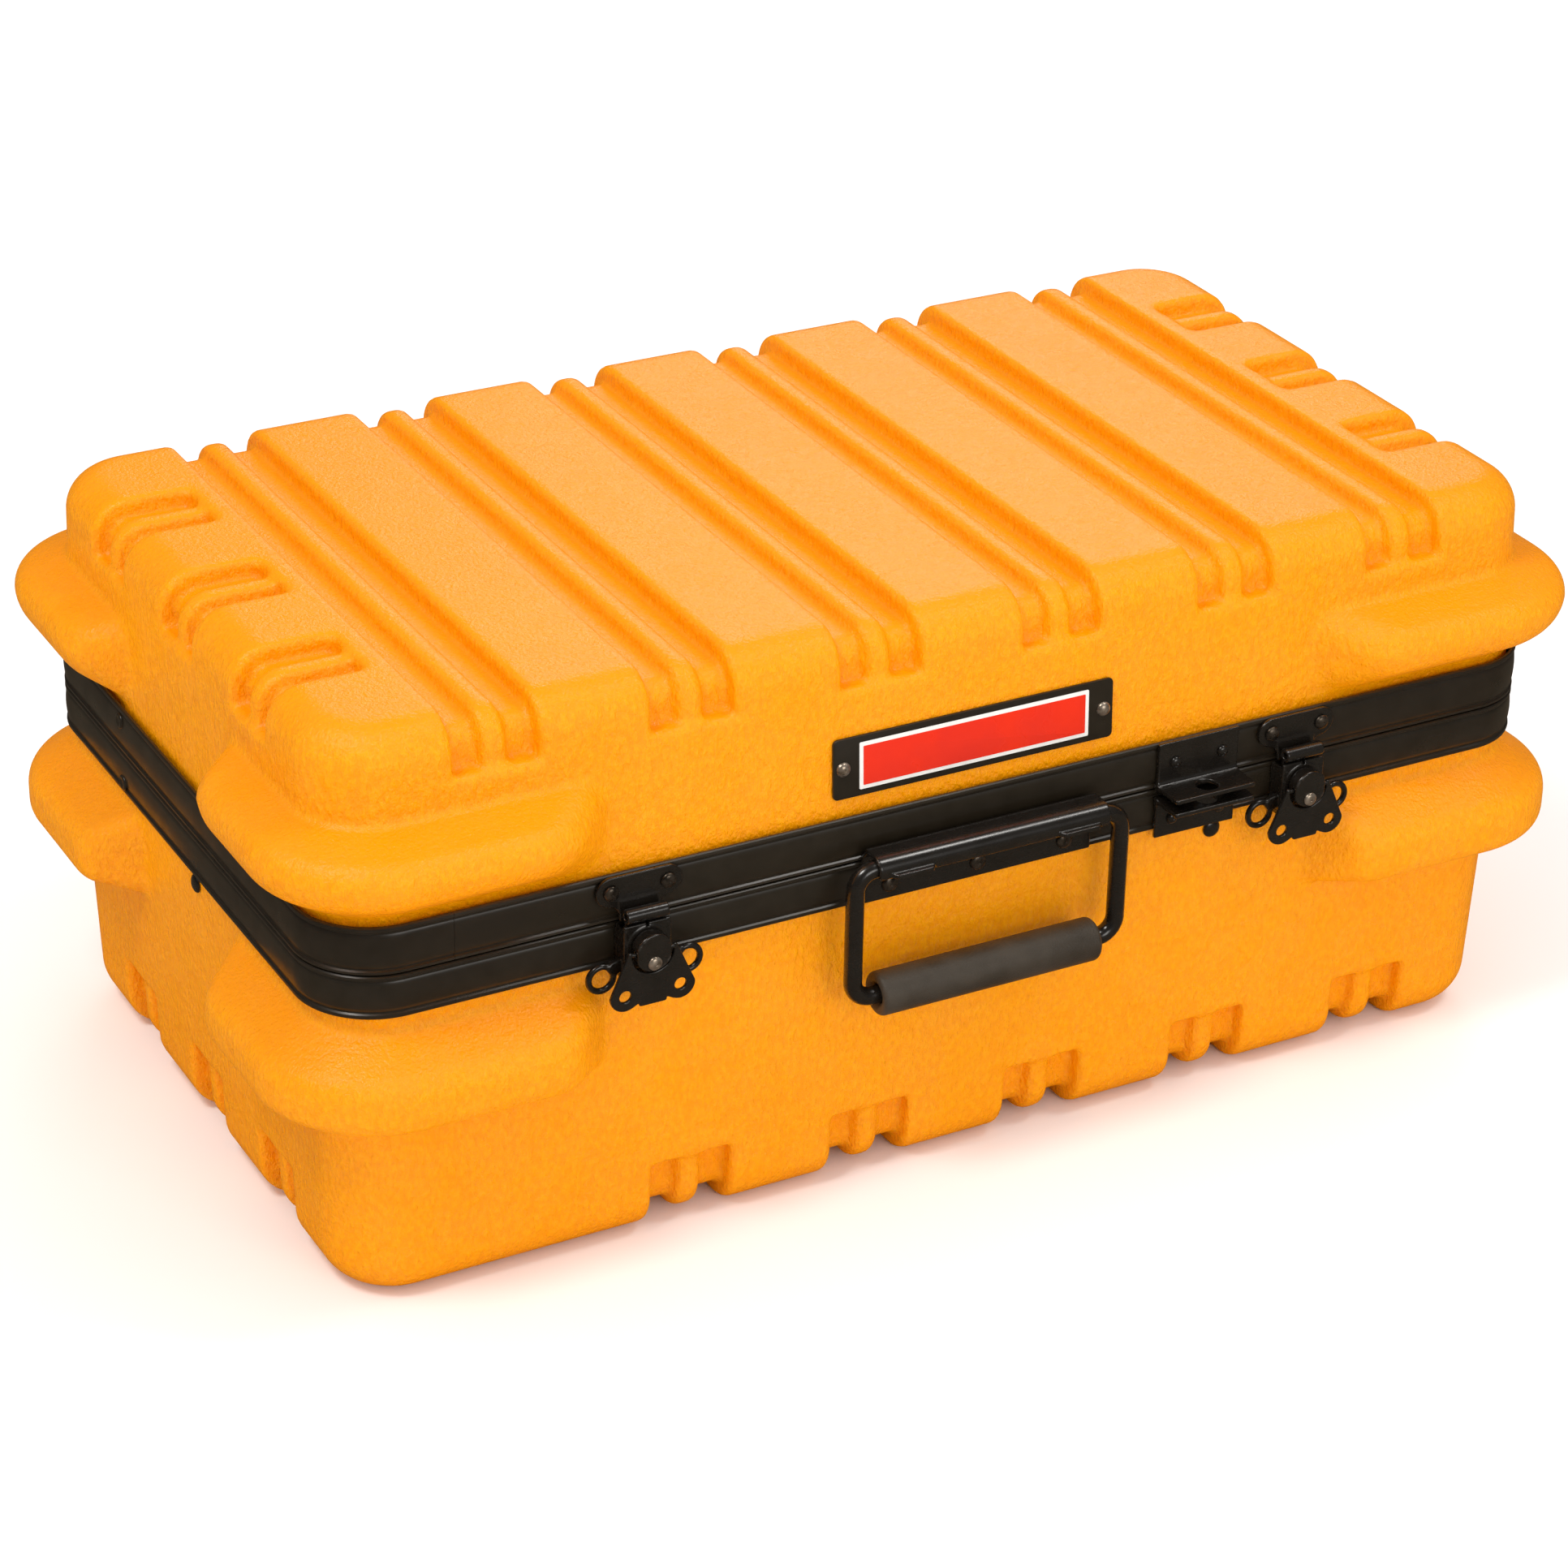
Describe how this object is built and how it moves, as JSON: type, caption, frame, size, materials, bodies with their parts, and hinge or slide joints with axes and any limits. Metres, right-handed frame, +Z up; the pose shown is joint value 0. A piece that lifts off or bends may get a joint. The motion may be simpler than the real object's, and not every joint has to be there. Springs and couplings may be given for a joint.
{
  "type": "hard equipment case",
  "caption": "Rectangular hard-shell case with ribbed lid and base, corner bumpers, black rim valances, rotary draw latches, padlock hasp and a folding drop handle.",
  "frame": {"origin": "centre of the underside, on the plane the case stands on", "axes": "+X to the right along the front, -Y towards the front with the latches and handle, +Z up"},
  "size_m": [0.568, 0.3321, 0.2383],
  "materials": {
    "shell_plastic": "moulded plastic with a fine haircell grain, semi-gloss",
    "black_aluminium": "black satin coated extrusion",
    "black_steel": "glossy black coated sheet steel",
    "rivet_steel": "dark nickel plated, domed",
    "grip_vinyl": "matte black moulded vinyl",
    "label_red": "plain red enamel panel with a pale border, left blank"
  },
  "bodies": {
    "base": {"base_shell": "shell_plastic", "base_valance": "black_aluminium", "handle_bracket": "black_steel", "bracket_rivet_left": "rivet_steel", "bracket_rivet_middle": "rivet_steel", "bracket_rivet_right": "rivet_steel", "hasp_base_plate": "black_steel", "hasp_base_rivet_left": "rivet_steel", "hasp_base_rivet_right": "rivet_steel", "shell_rivet_front": "rivet_steel", "shell_rivet_left": "rivet_steel", "latch_housing_left": "black_steel", "housing_rivet_left_a": "rivet_steel", "housing_rivet_left_b": "rivet_steel", "hinge_base_leaf_left": "black_steel", "hinge_base_rivet_left_a": "rivet_steel", "hinge_base_rivet_left_b": "rivet_steel", "latch_housing_right": "black_steel", "housing_rivet_right_a": "rivet_steel", "housing_rivet_right_b": "rivet_steel", "hinge_base_leaf_right": "black_steel", "hinge_base_rivet_right_a": "rivet_steel", "hinge_base_rivet_right_b": "rivet_steel"},
    "lid": {"lid_shell": "shell_plastic", "lid_valance": "black_aluminium", "hasp_lid_plate": "black_steel", "hasp_lid_rivet_left": "rivet_steel", "hasp_lid_rivet_right": "rivet_steel", "nameplate": "black_aluminium", "nameplate_label": "label_red", "nameplate_rivet_left": "rivet_steel", "nameplate_rivet_right": "rivet_steel", "latch_keeper_left": "black_steel", "keeper_rivet_left_a": "rivet_steel", "keeper_rivet_left_b": "rivet_steel", "hinge_lid_leaf_left": "black_steel", "hinge_pin_left": "rivet_steel", "hinge_lid_rivet_left_a": "rivet_steel", "hinge_lid_rivet_left_b": "rivet_steel", "latch_keeper_right": "black_steel", "keeper_rivet_right_a": "rivet_steel", "keeper_rivet_right_b": "rivet_steel", "hinge_lid_leaf_right": "black_steel", "hinge_pin_right": "rivet_steel", "hinge_lid_rivet_right_a": "rivet_steel", "hinge_lid_rivet_right_b": "rivet_steel"},
    "handle": {"handle_bail": "black_steel", "handle_grip": "grip_vinyl"},
    "latch_hub_left": {"latch_hub_left": "black_steel", "latch_crank_pin_left": "rivet_steel"},
    "latch_claw_left": {"latch_claw_left": "black_steel"},
    "latch_wing_left": {"latch_wing_left": "black_steel"},
    "latch_hub_right": {"latch_hub_right": "black_steel", "latch_crank_pin_right": "rivet_steel"},
    "latch_claw_right": {"latch_claw_right": "black_steel"},
    "latch_wing_right": {"latch_wing_right": "black_steel"}
  },
  "joints": [
    {"name": "lid_hinge", "type": "hinge", "parent": "base", "child": "lid", "pos_m": [0, 0.1512, 0.146], "axis": [-1, 0, 0], "range_deg": [0, 135]},
    {"name": "handle_pivot", "type": "hinge", "parent": "base", "child": "handle", "pos_m": [0, -0.1585, 0.148], "axis": [-1, 0, 0], "range_deg": [0, 90]},
    {"name": "latch_turn_left", "type": "hinge", "parent": "base", "child": "latch_hub_left", "pos_m": [-0.144, -0.16, 0.138], "axis": [0, 1, 0], "range_deg": [0, 180]},
    {"name": "latch_draw_left", "type": "slide", "parent": "base", "child": "latch_claw_left", "axis": [0, 0, 1], "range_m": [0, 0.0085]},
    {"name": "latch_fold_left", "type": "hinge", "parent": "latch_hub_left", "child": "latch_wing_left", "pos_m": [-0.144, -0.1605, 0.138], "axis": [-1, 0, 0], "range_deg": [0, 90]},
    {"name": "latch_turn_right", "type": "hinge", "parent": "base", "child": "latch_hub_right", "pos_m": [0.144, -0.16, 0.138], "axis": [0, 1, 0], "range_deg": [0, 180]},
    {"name": "latch_draw_right", "type": "slide", "parent": "base", "child": "latch_claw_right", "axis": [0, 0, 1], "range_m": [0, 0.0085]},
    {"name": "latch_fold_right", "type": "hinge", "parent": "latch_hub_right", "child": "latch_wing_right", "pos_m": [0.144, -0.1605, 0.138], "axis": [-1, 0, 0], "range_deg": [0, 90]}
  ],
  "couplings": [
    {"joint": "latch_draw_left", "follows": "latch_turn_left", "m_per_rad": 0.0026738},
    {"joint": "latch_draw_right", "follows": "latch_turn_right", "m_per_rad": 0.0026738}
  ]
}
